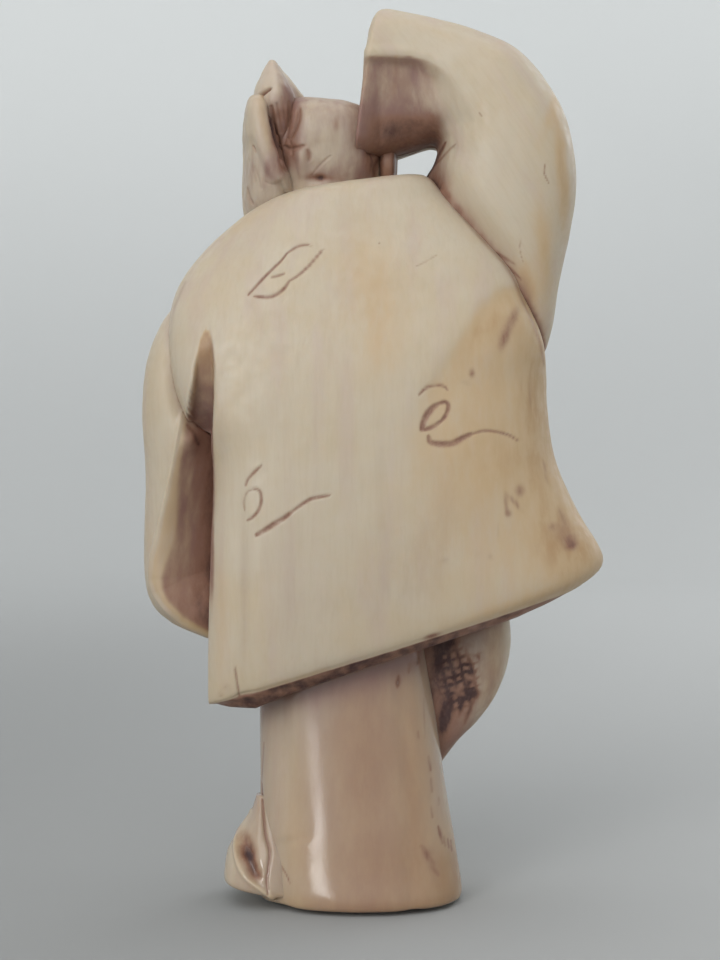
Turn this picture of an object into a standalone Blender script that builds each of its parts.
"""Carved ivory netsuke: a standing figure in a short wide-sleeved coat, one arm raised.

The figure stands on the flat underside of its robe, with its back to -Y and its face to
+Y. It is made in sections that meet along the deep lines of the carving and are held by
round ivory pegs. Sizes are in millimetres and become metres where a mesh is made.
"""

import math
from collections import namedtuple

import bmesh
import bpy
import numpy as np
from mathutils import Matrix, Vector

METRES = 0.001

# Main sizes over everything. The tables below count from them: SIDE is the outermost x to
# either side, and FRONT the foremost y, with the back at its negative
WIDTH = 36.1
HEIGHT = 69.2
DEPTH = 18.8
SIDE = WIDTH / 2
FRONT = DEPTH / 2

# Clearance between sections, and what stands proud or lies back
FIT = 0.3
HEM_WALL = 1.5
HEM_HOLLOW = 3.2
CLOTH_PROUD = 0.35
LAPEL_PROUD = 0.35
LAPEL_WIDTH = 2.0
LAPEL_THICKNESS = 1.35
LAPEL_ABOVE_HEM = 1.2
LAPEL_TOP = 52.6
CUT_BEYOND = 3.0
INLAY_BACK = 0.8
INLAY_THICKNESS = 1.6
SASH_BACK = 0.2

# Pegs: where each has its middle, where it points and how long it is
PEG_DIAMETER = 2.0
NECK_PEG = ((-4.4, -0.2, 50.4), (0, 0, 1), 6.4)
RAISED_SLEEVE_PEG = ((9.4, -0.8, 50.8), (0.82, 0, 0.57), 7.0)
LOWERED_SLEEVE_PEG = ((-12.7, 4.4, 30.0), (1, 0, 0), 6.6)
WAIST_PEG = ((-2.6, 0.0, 19.5), (0, 0, 1), 11.0)

# Points round a ring
COARSE = 24
MEDIUM = 32
FINE = 44

# A section is a rounded box between a left and a right point of the back view, at
# (x, z), and between a back and a front y. Squareness 2 is an ellipse, more is boxier.
Section = namedtuple("Section", "left right back front left_square right_square")


def section(left, right, back, front, square=2.4, right_square=None):
    """One section; both sides are alike where only one squareness is given."""
    return Section(left, right, back, front, square, right_square or square)


# Coat, from the hem to the collar. The left side is square, where the back panel ends
# in an edge, and the right side flares out at the hem.
COAT = (
    section((-12.5, 15.7), (SIDE - 1.75, 24.6), 1.8 - FRONT, 6.8, 5.0, 2.6),
    section((-12.65, 16.5), (SIDE, 26.6), 1.1 - FRONT, 7.4, 5.0, 2.6),
    section((-12.5, 20.5), (SIDE - 2.15, 30.6), 0.5 - FRONT, 7.8, 5.0, 2.5),
    section((-12.3, 27.0), (SIDE - 3.75, 34.4), 0.1 - FRONT, 8.2, 5.0, 2.5),
    section((-12.2, 33.6), (SIDE - 4.3, 38.6), -FRONT, 8.4, 4.6, 2.5),
    section((-14.0, 37.2), (SIDE - 4.35, 41.0), 0.1 - FRONT, 8.2, 3.6, 2.6),
    section((-15.2, 40.4), (SIDE - 4.55, 43.2), 0.4 - FRONT, 7.9, 3.2, 3.2),
    section((-15.6, 44.2), (SIDE - 5.55, 45.6), 1.0 - FRONT, 7.2, 2.8, 4.2),
    section((-15.0, 47.6), (SIDE - 7.35, 48.9), 1.7 - FRONT, 6.4, 2.5, 4.6),
    section((-13.0, 50.6), (8.1, 52.0), 2.5 - FRONT, 5.4, 2.3, 4.4),
    section((-10.5, 52.8), (5.8, 54.4), 3.0 - FRONT, 4.4, 2.3, 3.6),
    section((-8.8, 54.0), (4.6, 55.6), 3.4 - FRONT, 3.4, 2.3, 2.6),
    section((-7.2, 54.7), (3.9, 56.0), 4.1 - FRONT, 2.4, 2.3, 2.2),
)

# Fold between the shoulder cloth and the back panel, from its open foot to its point
SHOULDER_FOLD = (
    section((-17.0, 34.5), (-12.05, 34.5), -13.0, -3.6, 6.0),
    section((-17.0, 36.4), (-12.05, 36.4), -13.0, -3.9, 6.0),
    section((-14.1, 37.1), (-12.05, 37.1), -13.0, -4.2, 6.0),
    section((-13.8, 38.6), (-12.0, 38.6), -13.0, -5.0, 6.0),
    section((-13.3, 41.2), (-12.1, 41.2), -13.0, -6.3, 6.0),
    section((-12.8, 43.2), (-12.2, 43.2), -13.0, -7.7, 6.0),
    section((-12.6, 44.2), (-12.4, 44.2), -13.0, -8.6, 6.0),
)

# Opening between the coat fronts: (z, x left, x right)
FRONT_EDGES = ((15.0, -5.3, 2.4), (30.0, -5.0, 2.0), (40.0, -4.9, 1.4), (54.0, -6.2, -0.4))
SASH_BOTTOM = 33.0
SASH_TOP = 38.0
KIMONO_TOP = 53.6

# Lower robe, from the flat base to the waterline of the hem, where it goes on up into
# the hollow of the coat
ROBE = (
    section((-8.6, 0.0), (6.6, 0.0), -7.0, 6.6, 2.6),
    section((-9.0, 0.6), (7.1, 0.6), -7.3, 6.9, 2.6),
    section((-8.9, 4.0), (6.6, 4.0), -6.7, 6.3, 2.5),
    section((-8.75, 9.0), (5.75, 9.0), -5.9, 5.6, 2.4),
    section((-8.8, 14.0), (4.9, 15.0), -5.5, 5.1, 2.4),
    section((-8.8, 17.0), (3.9, 20.9), -5.5, 4.7, 2.4),
)
ROBE_TAPER = 0.8

# Raised sleeve, round the bend from the shoulder seam to the mouth over the head: left
# is the inner side of the bend, right the outer side
RAISED_SLEEVE = (
    section((2.6, 51.5), (11.8, 41.2), -5.4, 4.6, 2.6),
    section((4.0, 55.9), (13.6, 42.9), -6.0, 5.0, 2.6),
    section((4.8, 57.4), (14.6, 48.0), -6.5, 5.3, 2.5),
    section((5.1, 58.2), (15.5, 52.2), -6.7, 5.5, 2.4),
    section((5.15, 58.5), (15.9, 56.2), -6.8, 5.5, 2.4),
    section((5.05, 58.8), (15.2, HEIGHT - 8.8), -6.7, 5.5, 2.4),
    section((4.8, 58.95), (13.5, HEIGHT - 5.5), -6.5, 5.4, 2.4),
    section((4.4, 59.05), (11.2, HEIGHT - 3.0), -6.3, 5.3, 2.5),
    section((3.7, 59.05), (8.2, HEIGHT - 1.6), -6.1, 5.2, 2.6),
    section((2.7, 58.85), (5.0, HEIGHT - 0.7), -5.9, 5.1, 2.8),
    section((1.3, 58.5), (2.6, HEIGHT - 0.2), -5.8, 5.0, 3.0),
    section((-0.3, 58.3), (0.9, HEIGHT), -5.6, 4.9, 3.2),
    section((-1.3, 58.8), (0.0, HEIGHT - 0.9), -5.0, 4.4, 3.2),
)
SLEEVE_SCOOP_CENTRE = (1.3, -11.0, 59.7)
SLEEVE_SCOOP_RADII = (7.6, 10.4, 5.0)

# Hanging sleeve, from its rounded bottom to the shoulder
LOWERED_SLEEVE = (
    section((1.85 - SIDE, 21.8), (-11.2, 19.8), -1.0, 5.6, 2.4),
    section((0.55 - SIDE, 23.0), (-10.6, 20.8), -2.6, 7.0, 2.6),
    section((0.05 - SIDE, 25.4), (-10.2, 23.6), -3.6, 7.7, 2.8),
    section((0.15 - SIDE, 30.0), (-10.0, 29.0), -4.2, 7.9, 2.8),
    section((0.25 - SIDE, 33.4), (-10.0, 33.4), -4.7, 7.7, 2.8),
    section((-SIDE, 38.0), (-10.0, 38.0), -5.2, 7.1, 2.6),
    section((0.35 - SIDE, 41.6), (-10.0, 41.6), -5.4, 6.1, 2.4),
    section((1.45 - SIDE, 44.6), (-10.0, 44.6), -5.2, 5.0, 2.4),
    section((2.65 - SIDE, 46.4), (-10.0, 47.0), -4.4, 4.0, 2.4),
)
# Its open back, a scoop inside the bright rim
LOWERED_SLEEVE_SCOOP = (
    section((-15.2, 21.6), (-8.0, 20.6), -12.0, -1.8, 3.0),
    section((-16.7, 23.3), (-8.0, 22.0), -12.0, 0.2, 3.0),
    section((-17.2, 25.2), (-8.0, 24.6), -12.0, 1.2, 3.0),
    section((-16.6, 29.0), (-8.0, 29.0), -12.0, 1.4, 3.0),
    section((-15.8, 32.2), (-8.0, 32.2), -12.0, 0.4, 3.0),
    section((-15.0, 35.2), (-8.0, 35.2), -12.0, -2.2, 3.0),
    section((-14.4, 36.4), (-8.0, 36.4), -12.0, -4.0, 3.0),
)
# Its mouth round the wrist, along y: (y, x left, x right, z bottom, z top, squareness)
SLEEVE_MOUTH = (
    (5.0, -16.2, -12.9, 29.6, 34.8, 2.2),
    (7.0, -16.6, -12.7, 28.8, 35.4, 2.2),
    (11.0, -16.8, -12.6, 28.4, 35.8, 2.2),
)

# Head, from the neck in the collar to the crown
HEAD = (
    section((-6.8, 51.4), (-2.0, 51.8), -2.6, 2.2, 2.2),
    section((-7.0, 53.0), (-1.8, 53.4), -2.7, 3.2, 2.2),
    section((-7.5, 54.0), (-1.2, 54.4), -2.9, 5.6, 2.2),
    section((-8.2, 55.6), (-0.6, 56.0), -3.2, 6.3, 2.2, 2.4),
    section((-8.6, 57.6), (-0.2, 57.9), -3.8, 6.5, 2.2, 2.8),
    section((-8.6, 59.4), (-0.2, 59.6), -4.1, 6.2, 2.2, 2.8),
    section((-8.1, 61.0), (-0.7, 60.6), -3.9, 5.4, 2.2, 2.6),
    section((-7.0, 62.0), (-1.8, 61.5), -3.0, 4.1, 2.2, 2.4),
    section((-5.6, 62.5), (-3.2, 62.0), -1.2, 2.3, 2.2),
)
# Heights on the face, by the usual proportions: the eyes half way from chin to crown
FACE_X = -4.4
EYE_Z = 58.2
NOSE_Z = 56.5
MOUTH_Z = 55.5
CHIN_Z = 54.3
EYE_APART = 3.1

# Edge of the headcloth in the side view, at the brow and at the nape: (y, z)
CLOTH_BROW = (6.0, 59.9)
CLOTH_NAPE = (-3.2, 53.6)

# The two ends of the tied cloth, and the hollow between them
KNOT_UPPER = (
    section((-8.6, 58.4), (-5.6, 58.2), -2.6, 1.0, 2.2),
    section((-9.2, 61.2), (-5.0, 60.8), -4.3, 1.6, 2.2),
    section((-9.2, 62.7), (-5.1, 62.5), -4.4, 1.4, 2.2),
    section((-8.75, 63.9), (-6.0, 63.8), -3.7, 0.8, 2.2),
    section((-8.1, 65.2), (-7.2, 65.1), -2.6, 0.2, 2.2),
)
KNOT_LOWER = (
    section((-9.8, 52.2), (-7.2, 52.0), -2.6, 1.4, 2.2),
    section((-10.2, 54.2), (-6.4, 54.0), -4.2, 2.4, 2.2),
    section((-10.2, 56.8), (-6.2, 56.6), -4.8, 2.8, 2.2),
    section((-10.1, 59.2), (-7.0, 59.2), -4.9, 2.6, 2.2),
    section((-9.9, 61.4), (-7.7, 61.6), -4.6, 2.2, 2.2),
    section((-9.6, 62.5), (-8.5, 62.7), -3.6, 1.2, 2.2),
)
KNOT_HOLLOW_CENTRE = (-6.9, -5.2, 59.0)
KNOT_HOLLOW_RADII = (1.1, 2.6, 3.4)

# Hand inside the mouth of the raised sleeve, from the wrist down to the fingertips
RAISED_HAND = (
    section((0.3, 63.4), (3.0, 63.4), -0.6, 4.0, 2.4),
    section((0.2, 61.6), (2.8, 61.6), -1.3, 4.2, 3.0),
    section((0.1, 59.4), (2.4, 59.4), -1.5, 4.4, 3.2),
    section((0.3, 57.6), (2.05, 57.6), -1.3, 4.0, 3.0),
    section((0.7, 56.0), (1.8, 56.0), -0.2, 3.2, 2.4),
)

# Hand in front of the hanging sleeve, along y
LOWERED_HAND = (
    (FRONT - 6.2, -15.9, -13.3, 30.9, 33.5, 2.2),
    (FRONT - 3.0, -15.7, -13.4, 31.0, 33.2, 2.2),
    (FRONT - 2.0, -15.9, -13.0, 30.4, 33.6, 2.2),
    (FRONT - 0.9, -15.8, -12.7, 30.2, 33.5, 2.2),
    (FRONT, -15.3, -13.0, 30.8, 33.0, 2.2),
)

# Fold of the robe that swings out at the right, from its top down to its point
KNEE_FOLD = (
    section((0.5, 20.4), (9.8, 23.4), -0.6, 4.4, 2.4),
    section((0.2, 18.4), (10.7, 21.2), -1.2, 5.8, 2.4),
    section((0.4, 16.6), (10.9, 18.6), -1.4, 6.6, 2.4),
    section((1.0, 14.4), (10.2, 15.9), -1.2, 6.6, 2.4),
    section((1.8, 12.2), (8.6, 13.7), -0.8, 6.4, 2.4),
    section((2.4, 10.4), (6.9, 11.9), -0.2, 5.8, 2.4),
    section((3.0, 9.4), (5.6, 10.1), 1.0, 5.0, 2.4),
)

# Train of the hem at the lower left, from the base up to its point, and its hollow
HEM_TRAIN = (
    section((-11.2, 0.0), (-5.0, 0.0), -5.0, 3.8, 2.6),
    section((-11.85, 0.5), (-5.0, 0.5), -5.6, 4.2, 2.6),
    section((-11.8, 1.8), (-5.2, 1.8), -5.3, 3.9, 2.5),
    section((-11.4, 3.4), (-5.4, 3.4), -4.9, 3.2, 2.4),
    section((-10.5, 4.9), (-5.8, 4.9), -4.2, 2.2, 2.4),
    section((-9.6, 6.8), (-6.4, 6.8), -3.2, 0.8, 2.4),
)
TRAIN_HOLLOW_CENTRE = (-9.4, -6.2, 4.0)
TRAIN_HOLLOW_RADII = (0.9, 2.2, 1.9)

# Feet, along y from the heel to the toes; the sole is flat
FOOT = (
    (FRONT - 7.0, -1.7, 1.7, -1.4, 2.4, 2.4),
    (FRONT - 4.0, -1.8, 1.8, -1.4, 2.3, 2.4),
    (FRONT - 1.8, -1.95, 1.95, -1.3, 1.9, 2.4),
    (FRONT - 0.7, -1.75, 1.75, -1.2, 1.6, 2.2),
    (FRONT - 0.2, -1.3, 1.3, -0.8, 1.2, 2.2),
    (FRONT, -0.7, 0.7, -0.3, 0.8, 2.0),
)
LEFT_FOOT_X = -5.0
RIGHT_FOOT_X = 1.6


def clear_scene():
    """Start from an empty scene."""
    for obj in list(bpy.data.objects):
        bpy.data.objects.remove(obj, do_unlink=True)


def ivory(obj, colour=(0.72, 0.6, 0.42), roughness=0.3):
    """Give an object its own polished ivory finish."""
    material = bpy.data.materials.new(obj.name)
    material.use_nodes = True
    shader = material.node_tree.nodes["Principled BSDF"]
    shader.inputs["Base Color"].default_value = (*colour, 1.0)
    shader.inputs["Roughness"].default_value = roughness
    shader.inputs["Metallic"].default_value = 0.0
    material.diffuse_color = (*colour, 1.0)
    obj.data.materials.clear()
    obj.data.materials.append(material)
    obj.data.shade_smooth()
    obj.data.set_sharp_from_angle(angle=math.radians(40))


def between_rows(rows, steps):
    """Sections on a smooth curve through the given ones: `steps` from each to the next."""
    table = np.array([[*s.left, *s.right, *s[2:]] for s in rows])
    last = len(table) - 1
    slopes = np.gradient(table, axis=0)
    places = np.linspace(0.0, last, last * steps + 1)
    first = np.minimum(places.astype(int), last - 1)
    t = (places - first)[:, None]
    a, b = table[first], table[first + 1]
    da, db = slopes[first], slopes[first + 1]
    curve = (2 * t**3 - 3 * t**2 + 1) * a + (t**3 - 2 * t**2 + t) * da
    curve += (3 * t**2 - 2 * t**3) * b + (t**3 - t**2) * db
    return [Section(tuple(r[:2]), tuple(r[2:4]), *r[4:]) for r in curve]


def ring_points(part, count, grow=0.0):
    """Points of one section: a closed curve that is an ellipse or a rounded box."""
    angle = np.linspace(0.0, 2 * math.pi, count, endpoint=False)
    cosine, sine = np.cos(angle), np.sin(angle)
    square = np.where(cosine < 0, part.left_square, part.right_square)
    across = np.sign(cosine) * np.abs(cosine) ** (2 / square)
    depth = np.sign(sine) * np.abs(sine) ** (2 / square)
    left, right = np.array(part.left), np.array(part.right)
    middle, half = (left + right) / 2, (right - left) / 2
    half = half * (1 + grow / np.hypot(*half))
    x = middle[0] + across * half[0]
    z = middle[1] + across * half[1]
    y = (part.back + part.front) / 2 + depth * ((part.front - part.back) / 2 + grow)
    return np.column_stack((x, y, z))


def link(name, bm):
    """A new object from a finished bmesh."""
    mesh = bpy.data.meshes.new(name)
    bm.to_mesh(mesh)
    bm.free()
    obj = bpy.data.objects.new(name, mesh)
    bpy.context.scene.collection.objects.link(obj)
    return obj


def body_from_rings(name, rings):
    """One closed body: each ring is bridged to the next and both ends are filled."""
    bm = bmesh.new()
    loops = []
    for ring in rings:
        verts = [bm.verts.new(Vector(point) * METRES) for point in ring]
        loops.append([bm.edges.new(pair) for pair in zip(verts, verts[1:] + verts[:1])])
    for lower, upper in zip(loops, loops[1:]):
        bmesh.ops.bridge_loops(bm, edges=lower + upper)
    for end in (loops[0], loops[-1]):
        bmesh.ops.contextual_create(bm, geom=end)
    bmesh.ops.recalc_face_normals(bm, faces=bm.faces)
    return link(name, bm)


def loft(name, rows, count, steps=2, grow=0.0, relief=None):
    """A closed body through a row of sections, with an optional relief on its surface."""
    rings = [ring_points(part, count, grow) for part in between_rows(rows, steps)]
    if relief is not None:
        rings = [relief(ring) for ring in rings]
    return body_from_rings(name, rings)


def loft_forward(name, rows, count, steps=2, relief=None):
    """A closed body whose sections follow each other along y, as for a foot or a hand.

    A row is (y, x left, x right, z bottom, z top, squareness).
    """
    upright = [section((x0, y), (x1, y), z0, z1, square) for y, x0, x1, z0, z1, square in rows]
    rings = [ring_points(part, count)[:, [0, 2, 1]] for part in between_rows(upright, steps)]
    if relief is not None:
        rings = [relief(ring) for ring in rings]
    return body_from_rings(name, rings)


def ellipsoid(name, centre, radii, segments=24, rings=14):
    """A ball stretched along the axes."""
    bm = bmesh.new()
    bmesh.ops.create_uvsphere(bm, u_segments=segments, v_segments=rings, radius=METRES)
    bmesh.ops.scale(bm, vec=Vector(radii), verts=bm.verts)
    bmesh.ops.translate(bm, vec=Vector(centre) * METRES, verts=bm.verts)
    return link(name, bm)


def placed(bm, point, toward):
    """Turn a bmesh's +Z to a direction and move its middle to a point."""
    turn = Vector(toward).normalized().to_track_quat("Z", "Y").to_matrix().to_4x4()
    bm.transform(Matrix.Translation(Vector(point) * METRES) @ turn)


def cylinder(name, centre, direction, diameter, length, segments=20):
    """A round bar with its middle at a point, along a direction."""
    bm = bmesh.new()
    radius = diameter / 2 * METRES
    size = {"radius1": radius, "radius2": radius, "depth": length * METRES}
    bmesh.ops.create_cone(bm, cap_ends=True, segments=segments, **size)
    placed(bm, centre, direction)
    return link(name, bm)


def block_beyond(name, point, toward, size=80.0):
    """A large block that lies beyond a plane: through a point, on the side of a direction."""
    bm = bmesh.new()
    bmesh.ops.create_cube(bm, size=size * METRES)
    direction = Vector(toward).normalized()
    placed(bm, Vector(point) + direction * size / 2, direction)
    return link(name, bm)


def settle(obj):
    """Turn an object's modifiers into its mesh."""
    evaluated = obj.evaluated_get(bpy.context.evaluated_depsgraph_get())
    mesh = bpy.data.meshes.new_from_object(evaluated)
    obj.modifiers.clear()
    obj.data = mesh


def combine(obj, other, operation):
    """Boolean with another object, which is used up."""
    modifier = obj.modifiers.new(other.name, "BOOLEAN")
    modifier.operation = operation
    modifier.solver = "EXACT"
    modifier.object = other
    settle(obj)
    bpy.data.objects.remove(other, do_unlink=True)
    return obj


def cut(obj, cutter):
    """Take the cutter away from the object."""
    return combine(obj, cutter, "DIFFERENCE")


def keep(obj, cutter):
    """Keep what the object shares with the cutter."""
    return combine(obj, cutter, "INTERSECT")


def grown(obj, clearance=FIT):
    """A copy of an object that stands out from it by a clearance all over."""
    copy = bpy.data.objects.new(obj.name + "_grown", obj.data.copy())
    bpy.context.scene.collection.objects.link(copy)
    modifier = copy.modifiers.new("clearance", "DISPLACE")
    modifier.strength = clearance * METRES
    modifier.mid_level = 0.0
    settle(copy)
    return copy


def hem_hollow(wall, reach_down, reach_up):
    """The space under the hem: the hem's own ring drawn in by a wall and carried up."""
    hem = COAT[0]
    along = Vector((hem.right[0] - hem.left[0], hem.right[1] - hem.left[1])).normalized()
    up = Vector((-along.y, along.x))

    def raised(distance, inset):
        shift = up * distance
        step = along * inset
        left = (hem.left[0] + shift.x + step.x, hem.left[1] + shift.y + step.y)
        right = (hem.right[0] + shift.x - step.x, hem.right[1] + shift.y - step.y)
        return section(left, right, hem.back + inset, hem.front - inset, 3.4, 2.6)

    rows = (
        raised(-reach_down, wall * 0.6),
        raised(0.0, wall),
        raised(reach_up * 0.7, wall * 1.1),
        raised(reach_up, wall * 1.5),
    )
    return loft("hem_hollow", rows, MEDIUM, 1)


def hem_height(x):
    """Height of the slanted hem at a place across it."""
    hem = COAT[0]
    slope = (hem.right[1] - hem.left[1]) / (hem.right[0] - hem.left[0])
    return hem.left[1] + (x - hem.left[0]) * slope


def robe_rows():
    """The robe's sections, with the last one just under the ceiling of the hem hollow."""
    last = ROBE[-1]
    left, right = ((x, hem_height(x) + HEM_HOLLOW - FIT) for x, z in (last.left, last.right))
    back, front = last.back + ROBE_TAPER, last.front - ROBE_TAPER
    return (*ROBE, section(left, right, back, front, last.left_square))


def coat_front(x, z):
    """How far forward the coat's surface is at a place on its front."""
    levels, fronts = [], []
    for part in between_rows(COAT, 4):
        across = (2 * x - part.left[0] - part.right[0]) / (part.right[0] - part.left[0])
        square = part.left_square if across < 0 else part.right_square
        rise = max(1 - abs(across) ** square, 0.0) ** (1 / square)
        levels.append(part.left[1] + (across + 1) / 2 * (part.right[1] - part.left[1]))
        fronts.append((part.back + part.front) / 2 + rise * (part.front - part.back) / 2)
    return float(np.interp(z, levels, fronts))


def opening_edges(z):
    """The x of the two edges of the front opening at a height."""
    heights, lefts, rights = zip(*FRONT_EDGES)
    return float(np.interp(z, heights, lefts)), float(np.interp(z, heights, rights))


def front_plate(name, edges, bottom, top, outer, inner, rows=10, columns=6):
    """A curved plate that follows the coat's front, between two depths below it.

    `edges` gives its left and right x at a height, and `bottom` its lower edge at an x.
    """
    rings = []
    for share in np.linspace(0.0, 1.0, rows):
        level = bottom(0.0) + share * (top - bottom(0.0))
        front, back = [], []
        for x in np.linspace(*edges(level), columns):
            z = bottom(x) + share * (top - bottom(x))
            y = coat_front(x, z)
            front.append((x, y - outer, z))
            back.insert(0, (x, y - inner, z))
        rings.append(front + back)
    return body_from_rings(name, rings)


def inlay(name, bottom, top, back):
    """A plate between the coat fronts that lies back from the coat's surface."""
    def edges(z):
        left, right = opening_edges(z)
        return left + FIT, right - FIT

    return front_plate(name, edges, bottom, top, back, INLAY_BACK + INLAY_THICKNESS)


def lapel(name, side):
    """The band along one edge of the front opening, -1 for the left and 1 for the right."""
    def edges(z):
        left, right = opening_edges(z)
        return (left - LAPEL_WIDTH, left + FIT) if side < 0 else (right - FIT, right + LAPEL_WIDTH)

    def bottom(x):
        return hem_height(x) + LAPEL_ABOVE_HEM

    inner = LAPEL_THICKNESS - LAPEL_PROUD
    return front_plate(name, edges, bottom, LAPEL_TOP, -LAPEL_PROUD, inner)


def face_relief(ring):
    """Brow, eyes, nose, mouth and chin, raised or sunk along y on the front of the head."""
    x, y, z = ring.T
    across = x - FACE_X
    side = np.abs(across) - EYE_APART / 2

    def bump(dx, width, height_z, tall):
        return np.exp(-((dx / width) ** 2) - ((z - height_z) / tall) ** 2)

    bridge = np.clip((EYE_Z + 0.6 - z) / (EYE_Z + 0.6 - NOSE_Z), 0, 1)
    under = 1 / (1 + np.exp(-(z - NOSE_Z + 0.15) / 0.12))
    raise_y = 1.1 * bridge * under * np.exp(-((across / (0.45 + 0.3 * bridge)) ** 2))
    raise_y -= 0.5 * bump(side, 0.85, EYE_Z + 0.1, 0.55)
    raise_y += 0.25 * bump(side, 0.6, EYE_Z - 0.05, 0.3)
    raise_y += 0.2 * bump(side, 1.1, EYE_Z + 1.0, 0.4)
    raise_y += 0.3 * bump(np.abs(across) - 2.2, 1.0, NOSE_Z + 0.1, 0.9)
    raise_y += 0.35 * bump(across, 1.1, MOUTH_Z, 0.45)
    raise_y -= 0.25 * bump(across, 1.1, MOUTH_Z + 0.02, 0.12)
    raise_y += 0.4 * bump(across, 0.9, CHIN_Z + 0.3, 0.5)
    front = np.clip((y - 1.0) / 2.0, 0, 1)
    return np.column_stack((x, y + raise_y * front, z))


def flat_sole(ring):
    """Level everything below the ground with the ground."""
    return np.column_stack((ring[:, 0], ring[:, 1], np.maximum(ring[:, 2], 0.0)))


def cloth_plane():
    """A point on the edge of the headcloth, and the direction of the cloth's side."""
    (y0, z0), (y1, z1) = CLOTH_BROW, CLOTH_NAPE
    return (FACE_X, y0, z0), (0.0, -(z0 - z1), y0 - y1)


def make_coat():
    """The coat with its lapels, front opening, shoulder fold and hollow hem."""
    coat = loft("coat", COAT, FINE, 2)
    for side in (-1, 1):
        combine(coat, lapel("lapel", side), "UNION")
    bottom = COAT[0].left[1] - CUT_BEYOND
    top = COAT[-1].right[1] + CUT_BEYOND
    depth = INLAY_BACK + INLAY_THICKNESS + FIT
    cut(coat, front_plate("opening", opening_edges, lambda x: bottom, top, -CUT_BEYOND, depth))
    cut(coat, loft("shoulder_fold", SHOULDER_FOLD, COARSE, 1))
    return cut(coat, hem_hollow(HEM_WALL, CUT_BEYOND, HEM_HOLLOW))


def make_head():
    """Face and neck, in front of the edge of the headcloth."""
    head = loft("head", HEAD, 44, 3, relief=face_relief)
    point, behind = cloth_plane()
    back_off = Vector(point) - Vector(behind).normalized() * FIT
    return cut(head, block_beyond("cloth_side", back_off, behind))


def make_headcloth():
    """The cloth over the crown and the back of the head, proud of the face."""
    cloth = loft("headcloth", HEAD, MEDIUM, 2, grow=CLOTH_PROUD)
    return keep(cloth, block_beyond("cloth_side", *cloth_plane()))


def make_foot(name, x):
    """One foot with a flat sole."""
    rows = [(y, x0 + x, x1 + x, z0, z1, square) for y, x0, x1, z0, z1, square in FOOT]
    return loft_forward(name, rows, 24, 2, relief=flat_sole)


def peg(name, place, sections):
    """A peg, and its hole in each of the sections that it joins."""
    centre, direction, length = place
    for obj in sections:
        cut(obj, cylinder("hole", centre, direction, PEG_DIAMETER + 2 * FIT, length + 2 * FIT))
    return cylinder(name, centre, direction, PEG_DIAMETER, length)


def build():
    """Make every section, largest first: each is cut back from those it meets."""
    clear_scene()
    coat_form = loft("coat_form", COAT, FINE, 2)
    coat = make_coat()
    head_form = loft("head_form", HEAD, MEDIUM, 2, grow=CLOTH_PROUD)
    cut(coat, grown(head_form))

    head = make_head()
    headcloth = make_headcloth()
    knot_upper = loft("knot_upper", KNOT_UPPER, COARSE)
    knot_lower = loft("knot_lower", KNOT_LOWER, COARSE)
    cut(knot_lower, grown(knot_upper))
    cut(knot_lower, grown(coat_form))
    for knot in (knot_upper, knot_lower):
        cut(knot, grown(head_form))
        cut(knot, ellipsoid("knot_hollow", KNOT_HOLLOW_CENTRE, KNOT_HOLLOW_RADII))

    raised_hand = loft("raised_hand", RAISED_HAND, COARSE)
    cut(raised_hand, grown(coat_form))
    cut(raised_hand, grown(head_form))
    raised_sleeve = loft("raised_sleeve", RAISED_SLEEVE, MEDIUM)
    cut(raised_sleeve, ellipsoid("scoop", SLEEVE_SCOOP_CENTRE, SLEEVE_SCOOP_RADII, 32, 20))
    for neighbour in (coat_form, raised_hand, head_form):
        cut(raised_sleeve, grown(neighbour))

    lowered_sleeve = loft("lowered_sleeve", LOWERED_SLEEVE, MEDIUM)
    cut(lowered_sleeve, grown(coat_form))
    cut(lowered_sleeve, loft("sleeve_scoop", LOWERED_SLEEVE_SCOOP, COARSE, 2))
    cut(lowered_sleeve, loft_forward("sleeve_mouth", SLEEVE_MOUTH, 24, 1))
    lowered_hand = loft_forward("lowered_hand", LOWERED_HAND, 24, 2)
    cut(lowered_sleeve, grown(lowered_hand))

    kimono_front = inlay("kimono_front", lambda x: SASH_TOP + FIT, KIMONO_TOP, INLAY_BACK)
    cut(kimono_front, grown(head_form))
    inlay("sash", lambda x: SASH_BOTTOM, SASH_TOP, SASH_BACK)
    robe_front = inlay("robe_front", lambda x: hem_height(x) + FIT, SASH_BOTTOM - FIT, INLAY_BACK)

    lower_robe = loft("lower_robe", robe_rows(), MEDIUM)
    knee_fold = loft("knee_fold", KNEE_FOLD, COARSE)
    hem_train = loft("hem_train", HEM_TRAIN, COARSE)
    for fold in (knee_fold, hem_train):
        cut(fold, grown(lower_robe))
    cut(hem_train, ellipsoid("train_hollow", TRAIN_HOLLOW_CENTRE, TRAIN_HOLLOW_RADII))
    left_foot = make_foot("left_foot", LEFT_FOOT_X)
    right_foot = make_foot("right_foot", RIGHT_FOOT_X)
    for neighbour in (left_foot, right_foot, robe_front):
        cut(lower_robe, grown(neighbour))

    peg("neck_peg", NECK_PEG, (head, coat))
    peg("raised_sleeve_peg", RAISED_SLEEVE_PEG, (raised_sleeve, coat))
    peg("lowered_sleeve_peg", LOWERED_SLEEVE_PEG, (lowered_sleeve, coat))
    peg("waist_peg", WAIST_PEG, (lower_robe, coat))
    for form in (coat_form, head_form):
        bpy.data.objects.remove(form, do_unlink=True)
    for obj in bpy.data.objects:
        ivory(obj)


build()
